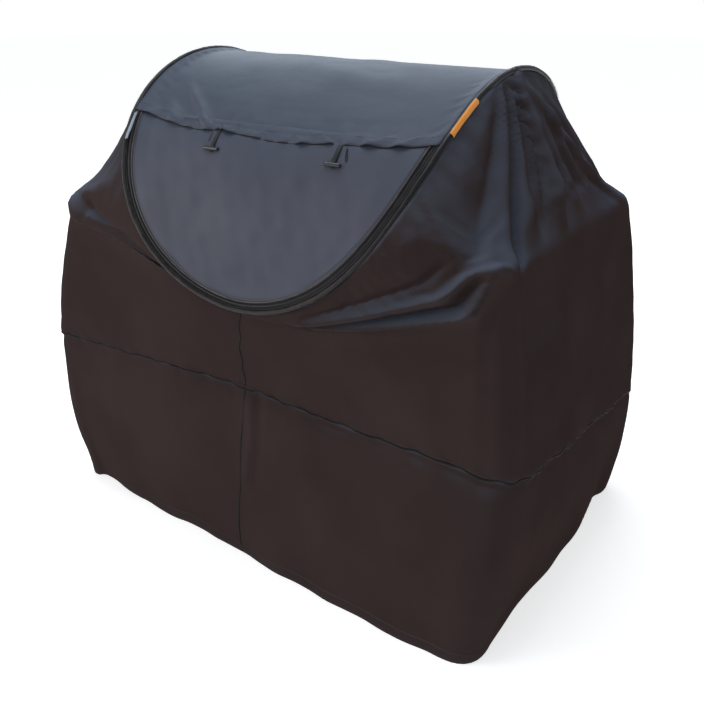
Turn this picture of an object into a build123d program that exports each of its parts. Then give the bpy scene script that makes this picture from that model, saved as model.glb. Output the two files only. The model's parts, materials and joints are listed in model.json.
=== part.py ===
from build123d import *
import math
import os

# A free-standing pop-up blackout tent. X is its width, Y its depth with the door towards -Y, and Z is up.
# All sizes are millimetres, and the origin is on the floor in the middle of the footprint.

# Roof: a flexible hoop and its fabric lie on part of a cylinder whose axis runs along X.
RIDGE_HEIGHT = 1021.0
ROOF_RADIUS = 406.0
HOOP_HALF_WIDTH = 374.0
HOOP_HALF_LENGTH = 662.0   # along the curved roof, from the ridge to the lowest point
HOOP_LENGTH_POWER = 3.2
HOOP_WIDTH_POWER = 1.88
HINGE_ARC = 291.0          # along the roof, from the ridge to the top of the door
SLEEVE_RADIUS = 5.5
SLEEVE_BORE = 4.3
WIRE_RADIUS = 2.5
FERRULE = (3.0, 3.7)       # inner and outer radius
SHOULDER_START = 9.5       # from the hoop's centre line to the fabric sewn to it

# Body: level rings, each a rounded quadrilateral given by its corners in the order
# front right, back right, back left, front left.
RIM_HEIGHT = 723.0
RIM = [(520, -327.5), (520, 327.5), (-520, 327.5), (-520, -327.5)]
RIM_ROUND = 65.0
WAIST = [(577, -372), (577, 372), (-577, 372), (-577, -372)]
WAIST_ROUND = 95.0
HEM = [(552, -462), (552, 345), (-552, 462), (-552, -345)]
HEM_ROUND = 110.0
CREASE_DROP = 135.0        # how far the rim line dips under the hoop, front and back
CREASE_PUSH = 48.0         # and how far it is pushed out there
WAIST_MEAN = 360.0         # height of the waist seam, which slopes down to the back right
WAIST_SLOPE = 45.0
WAIST_TOP = 410.0
SKIRT_BULGE = 8.0
CHEEK_SAG = 12.0

# Fabric and seams.
CLOTH = 2.0
SEAM_GAP = 1.0
FOLD_GAP = 1.8
SEAM_TAPE_HALF = 6.0
TAPE_LIFT = 0.9
TAPE_THICK = 1.0
HEM_BAND = 25.0
HEM_CLEAR = 1.0

# Zip, as distances inside the hoop's centre line.
TAPE_FRAME = (7.2, 11.5)
TEETH_FRAME = (11.9, 13.4)
TEETH_DOOR = (13.8, 15.3)
TAPE_DOOR = (15.7, 20.4)
DOOR_INSET = 21.2
LIGHT_FLAP = (7.5, 30.0)
TEETH_HALF = 1.2

# Slider, and the ribbon pull that turns on a round pin under its bridge.
SLIDER_INSET = 10.1
SLIDER_ARC = HINGE_ARC + 12
SLIDER_LIFT = TEETH_HALF + 0.4
PLATE = (6.4, 14.0, 1.6)
BRIDGE = (1.6, 9.0, 2.0)
BRIDGE_SLOT = (3.0, 5.0, 1.2)
PIN_RADIUS = 0.45
PIN_PLACE = 2.0            # along the slider, from its middle
PULL_WIDTH = 5.0
PULL_LENGTH = 56.0
PULL_THICK = 0.8
ARM_HEIGHT = 2.7

# Elastic loop and side tag.
LOOP = (22.0, 9.0)
LOOP_CORD = 1.6
LOOP_ASIDE = 15.0          # from the middle of the toggle beside it
LOOP_PLACE = 48.0          # below the hinge line
TAG_TAUS = (14, 22)
TAG_HALF = 7.0
TAG_LIFT = (1.8, 0.4)      # of its outer and inner faces, off the sleeve

# Inner frame.
POST_X = 488.0
POST_Y = 295.0
POST_RADIUS = 11.0
RAIL_RADIUS = 8.0
TUBE_WALL = 1.5
RAIL_HEIGHT = 703.0
BLOCK_RADIUS = 14.0
BLOCK_BOTTOM = 672.0
BLOCK_TOP = 716.0
POST_TOP = 688.0
FOOT_HEIGHT = 18.0
FOOT_FLOOR = 4.0
PLAY = 0.15

# Toggles that hold the rolled-up door, and the elastic loops beside them.
TOGGLE_PLACES = {"left": -115.0, "right": 165.0}
BAR_LENGTH = 36.0
BAR_RADIUS = 4.0
TAB_WIDTH = 10.0
TAB_LENGTH = 50.0
TAB_THICK = 1.2
BAR_PLACE = 44.0

AXIS_HEIGHT = RIDGE_HEIGHT - ROOF_RADIUS
BACK_SPAN = 2
FRONT_SPAN = 6
FRONT_MIDDLE = 6.5
MARKS = 12                 # facets to each side and corner
SIDE_RANGES = {"right": (-0.5, 1.5), "back": (1.5, 3.5), "left": (3.5, 5.5), "front": (5.5, 7.5)}
TAU_STOPS = [37, -37, -48, -132, -143, -217, -228, -312, -323]


def add(a, b, scale=1.0):
    return tuple(p + q * scale for p, q in zip(a, b))


def mix(a, b, share):
    return tuple(p + (q - p) * share for p, q in zip(a, b))


def unit(a):
    length = math.sqrt(sum(p * p for p in a))
    return tuple(p / length for p in a)


def cross(a, b):
    return (a[1] * b[2] - a[2] * b[1], a[2] * b[0] - a[0] * b[2], a[0] * b[1] - a[1] * b[0])


def spread(low, high, count):
    """count + 1 even steps from low to high."""
    return [low + (high - low) * k / count for k in range(count + 1)]


# ---- the roof's curves ----

def hoop_outline(tau):
    """The hoop laid flat: tau in degrees, 0 at the right end of the ridge and 90 at the front."""
    lift = math.sin(math.radians(tau))
    width = HOOP_HALF_WIDTH * max(1 - abs(lift) ** HOOP_LENGTH_POWER, 0) ** (1 / HOOP_WIDTH_POWER)
    side = 1 if math.cos(math.radians(tau)) > 0 else -1
    return side * width, HOOP_HALF_LENGTH * lift


def hoop_inside(tau, inset):
    """A point the given distance inside the flat hoop."""
    step = 0.5
    before, after = hoop_outline(tau - step), hoop_outline(tau + step)
    along = unit((after[0] - before[0], after[1] - before[1]))
    x, s = hoop_outline(tau)
    return x - along[1] * inset, s + along[0] * inset


def on_roof(x, s, radius=ROOF_RADIUS):
    """Wraps a flat point on to the roof cylinder, s being the arc from the ridge towards the front."""
    turn = s / ROOF_RADIUS
    return (x, -radius * math.sin(turn), AXIS_HEIGHT + radius * math.cos(turn))


def tau_at(s, inset):
    """The tau, on the right side, where the curve inside the hoop is at arc s."""
    low, high = -89.0, 89.0
    for _ in range(40):
        middle = (low + high) / 2
        if hoop_inside(middle, inset)[1] < s:
            low = middle
        else:
            high = middle
    return low


def roof_row(tau, inset, radius):
    x, s = hoop_inside(tau, inset)
    return [on_roof(-x, s, radius), on_roof(x, s, radius)]


def roof_plane(x, s, lift=0.0):
    """A plane lying on the roof, its x along X, its y up the slope and its z outwards."""
    turn = s / ROOF_RADIUS
    outward = (0, -math.sin(turn), math.cos(turn))
    return Plane(origin=on_roof(x, s, ROOF_RADIUS + lift), x_dir=(1, 0, 0), z_dir=outward)


# ---- the body's surfaces, by a station that runs 0 to 8 round the four sides and corners ----

def ring_point(corners, rounding, station):
    """A rounded quadrilateral: even unit spans are sides and odd ones are corners."""
    span = int(math.floor(station)) % 8
    share = station - math.floor(station)
    start = corners[(span // 2) % 4]
    end = corners[(span // 2 + 1) % 4]
    along = unit((end[0] - start[0], end[1] - start[1]))
    if span % 2 == 0:
        return mix(add(start, along, rounding), add(end, along, -rounding), share)
    beyond = corners[(span // 2 + 2) % 4]
    turn = unit((beyond[0] - end[0], beyond[1] - end[1]))
    first, last = add(end, along, -rounding), add(end, turn, rounding)
    return mix(mix(first, end, share), mix(end, last, share), share)


def rim_point(station):
    x, y = ring_point(RIM, RIM_ROUND, station)
    place = station % 8
    span = int(place)
    dip = 0.0
    if span in (BACK_SPAN, FRONT_SPAN):
        dip = 1 - (2 * (place - span) - 1) ** 2
    return (x, y + math.copysign(CREASE_PUSH * dip, y), RIM_HEIGHT - CREASE_DROP * dip)


def waist_point(station):
    x, y = ring_point(WAIST, WAIST_ROUND, station)
    tilt = x / WAIST[0][0] + y / WAIST[1][1]
    return (x, y, min(WAIST_TOP, WAIST_MEAN - WAIST_SLOPE * tilt))


def hem_point(station):
    x, y = ring_point(HEM, HEM_ROUND, station)
    return (x, y, HEM_CLEAR)


def hoop_point(station):
    place = station % 8
    span = int(place)
    tau = TAU_STOPS[span] + (TAU_STOPS[span + 1] - TAU_STOPS[span]) * (place - span)
    return on_roof(*hoop_outline(tau))


def outward_push(station):
    """The level direction pointing out of the body at a station."""
    before = ring_point(WAIST, WAIST_ROUND, station - 0.02)
    after = ring_point(WAIST, WAIST_ROUND, station + 0.02)
    along = unit((after[0] - before[0], after[1] - before[1]))
    return (along[1], -along[0], 0)


def shoulder_surface(station, v):
    """From beside the hoop, v = 0, down to the rim, v = 1."""
    hoop, rim = hoop_point(station), rim_point(station)
    top = add(hoop, unit(add(rim, hoop, -1)), SHOULDER_START)
    sag = CHEEK_SAG * 4 * v * (1 - v) * min(1, math.dist(hoop, rim) / 200)
    return add(mix(top, rim, v), outward_push(station), -sag)


def upper_surface(station, v):
    bulge = SKIRT_BULGE * 4 * v * (1 - v)
    return add(mix(rim_point(station), waist_point(station), v), outward_push(station), bulge)


def lower_surface(station, v):
    return mix(waist_point(station), hem_point(station), v)


def outward(surface, station, v):
    step = 0.01
    low, high = max(v - step, 0), min(v + step, 1)
    round_way = add(surface(station + step, v), surface(station - step, v), -1)
    down_way = add(surface(station, high), surface(station, low), -1)
    return unit(cross(down_way, round_way))


# ---- solids ----

def closed_shell(outer, inner):
    """A solid between two matching grids of points, both closed up at their edges."""
    rows, columns = len(outer), len(outer[0])
    quads = []
    for i in range(rows - 1):
        for j in range(columns - 1):
            quads.append((outer[i][j], outer[i][j + 1], outer[i + 1][j + 1], outer[i + 1][j]))
            quads.append((inner[i][j], inner[i + 1][j], inner[i + 1][j + 1], inner[i][j + 1]))
    for i in range(rows - 1):
        for j in (0, columns - 1):
            quads.append((outer[i][j], outer[i + 1][j], inner[i + 1][j], inner[i][j]))
    for j in range(columns - 1):
        for i in (0, rows - 1):
            quads.append((outer[i][j], outer[i][j + 1], inner[i][j + 1], inner[i][j]))
    triangles = []
    for a, b, c, d in quads:
        triangles += [(a, b, c), (a, c, d)]
    return faces_to_solid(triangles)


def cloth(surface, stations, levels, outside=0.0, thick=CLOTH):
    """A piece of fabric on a surface, its outer face lifted by outside."""
    outer = [[add(surface(t, v), outward(surface, t, v), outside) for t in stations] for v in levels]
    inner = [[add(surface(t, v), outward(surface, t, v), outside - thick) for t in stations] for v in levels]
    return closed_shell(outer, inner)


def drop_share(surface, distance):
    """The share of a surface's height that a distance in millimetres takes up, at the front middle."""
    return distance / math.dist(surface(FRONT_MIDDLE, 0), surface(FRONT_MIDDLE, 1))


def trimmed(low, high, surface, v, gap):
    """Stations from low to high, each end pulled in by a gap in millimetres.

    The marks between are the same for every piece, so that neighbouring pieces match.
    """
    step = 0.01
    first = low + gap * step / math.dist(surface(low, v), surface(low + step, v))
    last = high - gap * step / math.dist(surface(high - step, v), surface(high, v))
    marks = [k / MARKS for k in range(math.ceil(first * MARKS), math.floor(last * MARKS) + 1)]
    return [first] + marks + [last]


def roof_cloth(taus, inset, outside=0.0, thick=CLOTH):
    outer = [roof_row(tau, inset, ROOF_RADIUS + outside) for tau in taus]
    inner = [roof_row(tau, inset, ROOF_RADIUS + outside - thick) for tau in taus]
    return closed_shell(outer, inner)


def zip_strip(taus, insets, outside, thick):
    """A strip that follows the door's edge from one end of the hinge to the other."""
    def grid(radius):
        return [[on_roof(*hoop_inside(tau, inset), radius) for inset in insets] for tau in taus]
    return closed_shell(grid(ROOF_RADIUS + outside), grid(ROOF_RADIUS + outside - thick))


def hoop_tube(taus, radius, bore, sides):
    """A tube, or a solid rod where bore is nothing, that follows the hoop."""
    outer, inner = [], []
    for tau in taus:
        centre = on_roof(*hoop_outline(tau))
        along = unit(add(on_roof(*hoop_outline(tau + 0.5)), on_roof(*hoop_outline(tau - 0.5)), -1))
        turn = math.atan2(-centre[1], centre[2] - AXIS_HEIGHT)
        up = (0, -math.sin(turn), math.cos(turn))
        side = cross(along, up)
        ring, core = [], []
        for k in range(sides + 1):
            angle = 2 * math.pi * (k % sides) / sides
            spoke = add(tuple(p * math.cos(angle) for p in up), side, math.sin(angle))
            ring.append(add(centre, spoke, radius))
            core.append(add(centre, spoke, bore))
        outer.append(ring)
        inner.append(core)
    return ring_shell(outer, inner) if bore else rod_solid(outer)


def faces_to_solid(triangles):
    solid = Solid(Shell([Face(Wire.make_polygon(points)) for points in triangles]))
    return solid if solid.volume > 0 else -solid


def ring_shell(outer, inner):
    triangles = []
    for grid in (outer, inner):
        triangles += skin(grid)
    for i in (0, -1):
        for k in range(len(outer[0]) - 1):
            a, b, c, d = outer[i][k], outer[i][k + 1], inner[i][k + 1], inner[i][k]
            triangles += [(a, b, c), (a, c, d)]
    return faces_to_solid(triangles)


def rod_solid(outer):
    triangles = skin(outer)
    for ring in (outer[0], outer[-1]):
        for k in range(1, len(ring) - 2):
            triangles.append((ring[0], ring[k], ring[k + 1]))
    return faces_to_solid(triangles)


def skin(grid):
    triangles = []
    for i in range(len(grid) - 1):
        for k in range(len(grid[0]) - 1):
            a, b, c, d = grid[i][k], grid[i][k + 1], grid[i + 1][k + 1], grid[i + 1][k]
            triangles += [(a, b, c), (a, c, d)]
    return triangles


def tube(start, end, radius, wall):
    axis = Plane(origin=start, z_dir=tuple(q - p for p, q in zip(start, end)))
    length = math.dist(start, end)
    outside = extrude(axis * Circle(radius), length)
    return outside - extrude(axis * Circle(radius - wall), length)


# ---- sub-parts ----

def roof_parts():
    top = tau_at(HINGE_ARC - SEAM_GAP, SLEEVE_RADIUS + 2)
    low = tau_at(HINGE_ARC + SEAM_GAP, SLEEVE_RADIUS + 2)
    return {
        "roof_panel": roof_cloth(spread(-top, top, 12), SLEEVE_RADIUS + 2),
        "back_panel": roof_cloth([-tau for tau in spread(low, 86, 14)], SLEEVE_RADIUS + 2),
    }


def shoulder_parts():
    names = {"front": "front_shoulder", "back": "back_shoulder", "left": "cheek_left", "right": "cheek_right"}
    parts = {}
    for side, (low, high) in SIDE_RANGES.items():
        end = 1 - FOLD_GAP / math.dist(shoulder_surface(low, 0), shoulder_surface(low, 1))
        stations = trimmed(low, high, shoulder_surface, 1, SEAM_GAP)
        parts[names[side]] = cloth(shoulder_surface, stations, [0, 0.33, 0.66, end])
    return parts


def skirt_ranges():
    ranges = {side: SIDE_RANGES[side] for side in ("right", "back", "left")}
    ranges["front_left"] = (SIDE_RANGES["front"][0], FRONT_MIDDLE)
    ranges["front_right"] = (FRONT_MIDDLE, SIDE_RANGES["front"][1])
    return ranges


def skirt_parts():
    parts = {}
    top = drop_share(upper_surface, FOLD_GAP)
    gap = drop_share(upper_surface, SEAM_GAP)
    band = 1 - drop_share(lower_surface, HEM_BAND + SEAM_GAP)
    for name, (low, high) in skirt_ranges().items():
        stations = trimmed(low, high, upper_surface, 1, SEAM_GAP)
        parts["upper_skirt_" + name] = cloth(upper_surface, stations, [top, 0.35, 0.7, 1 - gap])
        parts["lower_skirt_" + name] = cloth(lower_surface, stations, [gap, band])
    for side, (low, high) in SIDE_RANGES.items():
        stations = trimmed(low, high, lower_surface, 1, SEAM_GAP)
        start = 1 - drop_share(lower_surface, HEM_BAND)
        parts["hem_" + side] = cloth(lower_surface, stations, [start, 1], 0.0, 2 * CLOTH)
    return parts


def seam_parts():
    """Flat tapes over the waist seam and over the upright seam in the middle of the front."""
    parts = {}
    reach_up = 1 - drop_share(upper_surface, SEAM_TAPE_HALF)
    reach_down = drop_share(lower_surface, SEAM_TAPE_HALF)
    for side, (low, high) in SIDE_RANGES.items():
        stations = trimmed(low, high, lower_surface, 0, SEAM_GAP)
        rows = []
        for lift in (TAPE_LIFT + TAPE_THICK, TAPE_LIFT):
            rows.append([[add(surface(t, v), outward(surface, t, v), lift) for t in stations]
                         for surface, v in ((upper_surface, reach_up), (lower_surface, reach_down))])
        parts["waist_seam_" + side] = closed_shell(rows[0], rows[1])
    width = SEAM_TAPE_HALF / math.dist(upper_surface(6, 1), upper_surface(7, 1))
    stations = [FRONT_MIDDLE - width, FRONT_MIDDLE, FRONT_MIDDLE + width]
    clear = drop_share(upper_surface, SEAM_TAPE_HALF + SEAM_GAP)
    upper = [drop_share(upper_surface, 4 * FOLD_GAP), 0.35, 0.7, 1 - clear]
    parts["centre_seam_upper"] = cloth(upper_surface, stations, upper, TAPE_LIFT + TAPE_THICK, TAPE_THICK)
    clear = drop_share(lower_surface, SEAM_TAPE_HALF + SEAM_GAP)
    lower = [clear, 1 - drop_share(lower_surface, HEM_BAND)]
    parts["centre_seam_lower"] = cloth(lower_surface, stations, lower, TAPE_LIFT + TAPE_THICK, TAPE_THICK)
    return parts


def hoop_parts():
    """The sprung wire in two halves, the crimped ferrules that join them and the sleeve round it all."""
    wire_end, sleeve_end, reach = 0.6, 0.2, 2.2
    run = spread(reach, 180 - reach, 36)
    wire = [wire_end] + run + [180 - wire_end]
    sleeve = [sleeve_end] + run + [180 - sleeve_end]
    parts = {}
    for half, way in (("front", 1), ("back", -1)):
        parts["hoop_wire_" + half] = hoop_tube([way * tau for tau in wire], WIRE_RADIUS, 0, 6)
        parts["hoop_sleeve_" + half] = hoop_tube([way * tau for tau in sleeve], SLEEVE_RADIUS, SLEEVE_BORE, 8)
    right = hoop_tube(spread(-reach, reach, 2), FERRULE[1], FERRULE[0], 8)
    left = hoop_tube(spread(180 - reach, 180 + reach, 2), FERRULE[1], FERRULE[0], 8)
    parts["hoop_ferrules"] = Compound(children=[right, left])
    return parts


def zip_taus():
    """Even steps round the door from just under the left end of the hinge to the right end."""
    start = tau_at(HINGE_ARC + 5, 0)
    half = spread(start, 90, 16)
    return half + [180 - tau for tau in reversed(half[:-1])]


def zip_parts():
    taus = zip_taus()
    return {
        "zip_tape_frame": zip_strip(taus, TAPE_FRAME, 0, TAPE_THICK),
        "zip_teeth_frame": zip_strip(taus, TEETH_FRAME, TEETH_HALF, 2 * TEETH_HALF),
        "zip_teeth_door": zip_strip(taus, TEETH_DOOR, TEETH_HALF, 2 * TEETH_HALF),
        "zip_tape_door": zip_strip(taus, TAPE_DOOR, 0, TAPE_THICK),
        "zip_light_flap": zip_strip(taus, LIGHT_FLAP, -3 * CLOTH, TAPE_THICK),
    }


def door_parts():
    first = tau_at(HINGE_ARC + 1.5, DOOR_INSET)
    taus = [first] + [tau for tau in zip_taus()[1:] if first + 2 < tau < 88]
    parts = {"door_panel": roof_cloth(taus, DOOR_INSET)}
    reach = hoop_inside(first, DOOR_INSET + 6)[0]
    outer, inner = [], []
    for x in spread(-reach, reach, 16):
        middle = HINGE_ARC + 8 + 22 * (1 - (x / reach) ** 2)
        for grid, lift in ((outer, TAPE_LIFT + TAPE_THICK), (inner, TAPE_LIFT)):
            grid.append([on_roof(x, middle + edge, ROOF_RADIUS + lift) for edge in (-4, 4)])
    parts["door_binding"] = closed_shell(outer, inner)
    for side, x in TOGGLE_PLACES.items():
        parts["elastic_loop_" + side] = elastic_loop(x + math.copysign(LOOP_ASIDE, x))
    return parts


def elastic_loop(x):
    """A small loop of cord that lies on the door below its binding."""
    length, width = LOOP
    flat = SlotOverall(length, width) - SlotOverall(length - 2 * LOOP_CORD, width - 2 * LOOP_CORD)
    loop = extrude(Rotation(0, 0, 90) * flat, LOOP_CORD)
    return roof_plane(x, HINGE_ARC + LOOP_PLACE, TAPE_THICK) * loop


def toggle_parts():
    """Each toggle is a webbing tab sewn under the binding, through the slot of a plastic bar."""
    parts = {}
    for side, x in TOGGLE_PLACES.items():
        plane = roof_plane(x, HINGE_ARC + 27, 2.2)
        tab = Pos(0, -TAB_LENGTH / 2, TAB_THICK / 2) * Box(TAB_WIDTH, TAB_LENGTH, TAB_THICK)
        bar = Rotation(0, 90, 0) * Cylinder(BAR_RADIUS, BAR_LENGTH)
        bar = fillet(bar.edges().filter_by(GeomType.CIRCLE), BAR_RADIUS * 0.6)
        slot = Box(TAB_WIDTH + 4 * PLAY, 3 * BAR_RADIUS, TAB_THICK + 4 * PLAY)
        bar = Pos(0, -BAR_PLACE, TAB_THICK / 2 + 0.6) * (bar - Pos(0, 0, -0.6) * slot)
        parts["toggle_tab_" + side] = plane * tab
        parts["toggle_bar_" + side] = plane * bar
    return parts


def slider_tau(s):
    """The tau on the left side at which the slider's path is at arc s."""
    return 180 - tau_at(s, SLIDER_INSET)


def slider_parts():
    """The slider runs on the frame's half of the zip, and its ribbon pull hangs from its bridge."""
    x, s = hoop_inside(slider_tau(SLIDER_ARC), SLIDER_INSET)
    lower_x, lower_s = hoop_inside(slider_tau(SLIDER_ARC + 1), SLIDER_INSET)
    lean = math.degrees(math.atan2(lower_x - x, lower_s - s))
    plane = roof_plane(x, s, SLIDER_LIFT) * Rotation(0, 0, lean)
    pin_height = PLATE[2] + BRIDGE_SLOT[2] / 2
    plate = Pos(0, 0, PLATE[2] / 2) * Box(*PLATE)
    bridge = Pos(0, PIN_PLACE, PLATE[2] + BRIDGE[2] / 2) * Box(*BRIDGE)
    bridge -= Pos(0, PIN_PLACE, pin_height) * Box(*BRIDGE_SLOT)
    pin = Pos(0, PIN_PLACE, pin_height) * Rotation(0, 90, 0) * Cylinder(PIN_RADIUS, PULL_WIDTH)
    arm_start, arm_end = PIN_PLACE + 0.6 * PIN_RADIUS, -PULL_WIDTH / 2 - 1
    arm_middle, arm_length = (arm_start + arm_end) / 2, arm_start - arm_end
    arm_lift = pin_height - 0.6 * PIN_RADIUS + ARM_HEIGHT / 2
    ribbon_end = -1 - PULL_LENGTH / 2
    ribbon_lift = pin_height - 0.6 * PIN_RADIUS + ARM_HEIGHT - PULL_THICK / 2
    pull = pin + Pos(0, ribbon_end, ribbon_lift) * Box(PULL_WIDTH, PULL_LENGTH, PULL_THICK)
    for way in (-1, 1):
        aside = way * (PULL_WIDTH - PULL_THICK) / 2
        pull += Pos(aside, arm_middle, arm_lift) * Box(PULL_THICK, arm_length, ARM_HEIGHT)
    return {"zip_slider": plane * (plate + bridge), "zip_pull": plane * pull}


def tag_part():
    """A plain woven tag sewn along the right side of the sleeve."""
    outer, inner = [], []
    for tau in spread(*TAG_TAUS, 5):
        x, s = hoop_inside(tau, 0)
        for grid, lift in zip((outer, inner), TAG_LIFT):
            middle = on_roof(x, s, ROOF_RADIUS + SLEEVE_RADIUS + lift)
            grid.append([add(middle, (-TAG_HALF, 0, 0)), add(middle, (TAG_HALF, 0, 0))])
    return {"side_tag": closed_shell(outer, inner)}


def frame_parts():
    parts = {}
    inset = BLOCK_RADIUS - 5
    for row, y in (("front", -POST_Y), ("back", POST_Y)):
        start, end = (-POST_X + inset, y, RAIL_HEIGHT), (POST_X - inset, y, RAIL_HEIGHT)
        parts["rail_" + row] = tube(start, end, RAIL_RADIUS, TUBE_WALL)
        for side, x in (("left", -POST_X), ("right", POST_X)):
            post = tube((x, y, FOOT_FLOOR + PLAY), (x, y, POST_TOP - PLAY), POST_RADIUS, TUBE_WALL)
            parts["post_" + row + "_" + side] = post
    for side, x in (("left", -POST_X), ("right", POST_X)):
        start, end = (x, -POST_Y + inset, RAIL_HEIGHT), (x, POST_Y - inset, RAIL_HEIGHT)
        parts["rail_" + side] = tube(start, end, RAIL_RADIUS, TUBE_WALL)
    places = [(x, y) for x in (-POST_X, POST_X) for y in (-POST_Y, POST_Y)]
    parts["corner_blocks"] = Compound(children=[corner_block(x, y) for x, y in places])
    parts["feet"] = Compound(children=[foot(x, y) for x, y in places])
    return parts


def corner_block(x, y):
    """A moulded elbow: the post plugs in from below and a rail from each side."""
    height = BLOCK_TOP - BLOCK_BOTTOM
    body = Pos(x, y, BLOCK_BOTTOM + height / 2) * Cylinder(BLOCK_RADIUS, height)
    body = fillet(body.edges().group_by(Axis.Z)[-1], 3)
    socket = POST_TOP - BLOCK_BOTTOM
    body -= Pos(x, y, BLOCK_BOTTOM + socket / 2) * Cylinder(POST_RADIUS + PLAY, socket)
    inset = BLOCK_RADIUS - 5 - PLAY
    for way in ((-math.copysign(1, x), 0, 0), (0, -math.copysign(1, y), 0)):
        mouth = Plane(origin=add((x, y, RAIL_HEIGHT), way, inset), z_dir=way)
        body -= extrude(mouth * Circle(RAIL_RADIUS + PLAY), BLOCK_RADIUS)
    return body.solids()[0]


def foot(x, y):
    body = Pos(x, y, FOOT_HEIGHT / 2) * Cylinder(BLOCK_RADIUS, FOOT_HEIGHT)
    depth = FOOT_HEIGHT - FOOT_FLOOR
    body -= Pos(x, y, FOOT_FLOOR + depth / 2) * Cylinder(POST_RADIUS + PLAY, depth)
    return body.solids()[0]


SECTIONS = [roof_parts, shoulder_parts, skirt_parts, seam_parts, hoop_parts, zip_parts, door_parts,
            toggle_parts, slider_parts, tag_part, frame_parts]

os.makedirs("parts", exist_ok=True)
for section in SECTIONS:
    for node, solid in section().items():
        export_step(solid, "parts/" + node + ".step")
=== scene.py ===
import json
import math

import bpy
import numpy as np
from mathutils import Matrix, Vector


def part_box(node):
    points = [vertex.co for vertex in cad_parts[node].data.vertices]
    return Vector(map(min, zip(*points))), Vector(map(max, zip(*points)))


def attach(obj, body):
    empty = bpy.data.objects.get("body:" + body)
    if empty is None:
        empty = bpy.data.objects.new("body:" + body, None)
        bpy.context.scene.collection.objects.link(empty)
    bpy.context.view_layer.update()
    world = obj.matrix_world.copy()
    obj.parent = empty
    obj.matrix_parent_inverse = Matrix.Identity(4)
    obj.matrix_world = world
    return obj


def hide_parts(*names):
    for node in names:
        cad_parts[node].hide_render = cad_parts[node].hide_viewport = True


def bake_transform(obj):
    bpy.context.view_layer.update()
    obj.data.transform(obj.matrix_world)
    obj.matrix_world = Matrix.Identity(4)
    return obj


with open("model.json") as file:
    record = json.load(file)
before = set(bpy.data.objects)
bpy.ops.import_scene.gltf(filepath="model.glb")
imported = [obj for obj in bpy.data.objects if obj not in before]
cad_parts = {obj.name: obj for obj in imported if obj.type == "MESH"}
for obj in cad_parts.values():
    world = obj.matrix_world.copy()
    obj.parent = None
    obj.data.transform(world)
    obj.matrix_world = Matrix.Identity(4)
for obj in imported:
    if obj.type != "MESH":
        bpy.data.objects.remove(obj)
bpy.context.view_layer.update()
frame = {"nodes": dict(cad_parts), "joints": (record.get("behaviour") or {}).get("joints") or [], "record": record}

# ---- driving sizes, in metres, read from the frame where a node gives them ----

SLEEVE_RADIUS = 0.0055
DOOR_INSET = 0.0212         # of the door's curved edge from the hoop
TEETH_INSETS = {"frame": 0.01265, "door": 0.01455}
hoop_low, hoop_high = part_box("hoop_sleeve_front")
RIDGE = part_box("roof_panel")[1].z
ROOF_RADIUS = -hoop_low.y - SLEEVE_RADIUS
ROOF_AXIS = RIDGE - ROOF_RADIUS
HOOP_HALF_WIDTH = hoop_high.x - SLEEVE_RADIUS
HOOP_DROP = ROOF_AXIS - hoop_low.z - SLEEVE_RADIUS      # of its lowest point below the roof's axis
HOOP_HALF_LENGTH = ROOF_RADIUS * (math.pi / 2 + math.asin(HOOP_DROP / ROOF_RADIUS))
HOOP_LENGTH_POWER = 3.2     # the two powers of the rounded shape that the flat hoop follows
HOOP_WIDTH_POWER = 1.88
JOINTS = {joint["name"]: joint["pos_m"] for joint in frame["joints"]}
HINGE_ARC = ROOF_RADIUS * math.acos((JOINTS["door_hinge"][2] - ROOF_AXIS) / ROOF_RADIUS)

post_low, post_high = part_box("post_front_right")
RIM_BEYOND_POST = 0.0322
RIM_X = (post_low.x + post_high.x) / 2 + RIM_BEYOND_POST
RIM_Y = -(post_low.y + post_high.y) / 2 + RIM_BEYOND_POST
RIM_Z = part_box("cheek_right")[0].z + 0.011
RIM_ROUNDS = (0.042, 0.055, 0.050, 0.034)     # of each corner, in the order of RIM below
DIP_DEPTH = 0.142           # how far the rim's full dip goes down, in the front and the back
DIP_PUSH = 0.048            # and how far it goes outwards
WAIST_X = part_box("waist_seam_right")[1].x - 0.002
WAIST_Y = 0.372
WAIST_ROUNDS = (0.080, 0.080, 0.070, 0.048)
WAIST_MEAN = 0.360          # the seam's height
WAIST_SLOPE = 0.045         # its fall from the middle to the right side, and again to the back
WAIST_TOP = 0.410           # the most that its height may be
HEM_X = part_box("hem_right")[1].x
HEM_NEAR = 0.345
HEM_FAR = 0.462
HEM_ROUNDS = (0.100, 0.085, 0.080, 0.036)
SPREAD = 0.009              # how much wider the cloth hangs at its front left and back right corners
HEM_SPREAD = 0.030          # and at the front left corner of the hem
HEM_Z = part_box("hem_front")[0].z

RIM = [(RIM_X, -RIM_Y), (RIM_X + SPREAD, RIM_Y), (-RIM_X, RIM_Y), (-RIM_X - SPREAD, -RIM_Y)]
WAIST = [(WAIST_X, -WAIST_Y), (WAIST_X + SPREAD, WAIST_Y), (-WAIST_X, WAIST_Y),
         (-WAIST_X - SPREAD / 2, -WAIST_Y)]
HEM = [(HEM_X, -HEM_FAR), (HEM_X, HEM_NEAR), (-HEM_X, HEM_FAR), (-HEM_X - HEM_SPREAD, -HEM_NEAR + HEM_SPREAD)]
STATIONS = 8                # four sides and four corners, counted from the front right corner
BACK_SPAN = 2
FRONT_MIDDLE = 6.5
CORNERS = (1.5, 3.5, 5.5, 7.5)
# How far the rim dips along the front, as (station, share of the full dip): slowly down from the left corner
# to the middle, and then up to the right one.
FRONT_DIP = [
    (5.60, 0.0), (6.12, 0.38), (6.30, 0.72), (FRONT_MIDDLE, 1.0), (6.68, 1.02),
    (6.85, 0.78), (7.0, 0.54), (7.22, 0.18), (7.45, 0.0),
]
# Where the whole stations, 0 to 8, meet the hoop, as tau in degrees.
TAU_STOPS = [37, -37, -48, -132, -143, -217, -228, -312, -323]

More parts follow.
